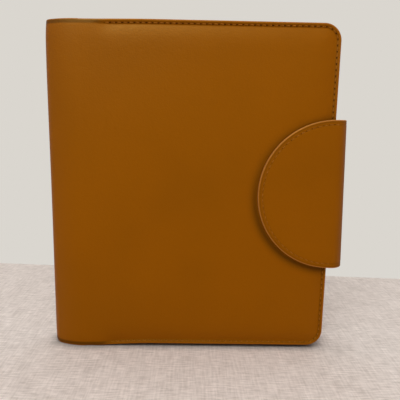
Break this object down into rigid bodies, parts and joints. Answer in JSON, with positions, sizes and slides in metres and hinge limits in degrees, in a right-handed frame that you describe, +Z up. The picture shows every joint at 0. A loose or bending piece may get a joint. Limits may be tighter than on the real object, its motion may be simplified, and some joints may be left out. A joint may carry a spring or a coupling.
{
  "type": "tablet case",
  "caption": "Leather folio case for a tablet with padded stitched covers, a soft rounded spine, a half-round magnetic closing flap, corner holders, pockets and a pen loop.",
  "frame": {"origin": "on the ground under the middle of the closed case, standing on its lower edge", "axes": "+Z up along the spine, -Y out of the front cover, +X from the spine towards the flap"},
  "size_m": [0.232, 0.0308, 0.256],
  "materials": {
    "cover_leather": "satin",
    "inner_leather": "matte",
    "flap_lining": "matte",
    "lining": "matte",
    "padding": "matte",
    "board": "matte",
    "thread": "matte",
    "steel": "satin",
    "magnet": "satin"
  },
  "bodies": {
    "back": {"back_leather": "cover_leather", "back_padding": "padding", "back_board": "board", "back_lining": "lining", "back_stitching": "thread", "holder_panel": "inner_leather", "upper_inner_holder": "inner_leather", "upper_outer_holder": "inner_leather", "lower_inner_holder": "inner_leather", "lower_outer_holder": "inner_leather", "flap_anchor": "cover_leather"},
    "spine": {"spine_leather": "cover_leather", "spine_stiffener": "board", "spine_lining": "lining", "pen_loop": "inner_leather"},
    "front": {"front_leather": "cover_leather", "front_padding": "padding", "front_board": "board", "front_lining": "lining", "front_stitching": "thread", "keeper_plates": "steel", "slip_pocket": "inner_leather", "card_pocket_rear": "inner_leather", "card_pocket_middle": "inner_leather", "card_pocket_front": "inner_leather"},
    "strap": {"strap_leather": "cover_leather", "strap_lining": "flap_lining"},
    "flap": {"flap_leather": "cover_leather", "flap_stiffener": "board", "flap_magnets": "magnet", "flap_lining": "flap_lining", "flap_stitching": "thread"}
  },
  "joints": [
    {"name": "spine_hinge", "type": "hinge", "parent": "back", "child": "spine", "pos_m": [-0.11085, 0.01035, 0.128], "axis": [0, 0, -1], "range_deg": [0, 90]},
    {"name": "cover_hinge", "type": "hinge", "parent": "spine", "child": "front", "pos_m": [-0.11085, -0.00654, 0.128], "axis": [0, 0, -1], "range_deg": [0, 90]},
    {"name": "strap_hinge", "type": "hinge", "parent": "back", "child": "strap", "pos_m": [0.1056, 0.01281, 0.128], "axis": [0, 0, 1], "range_deg": [0, 90]},
    {"name": "flap_hinge", "type": "hinge", "parent": "strap", "child": "flap", "pos_m": [0.1056, -0.01499, 0.128], "axis": [0, 0, 1], "range_deg": [0, 100]}
  ]
}
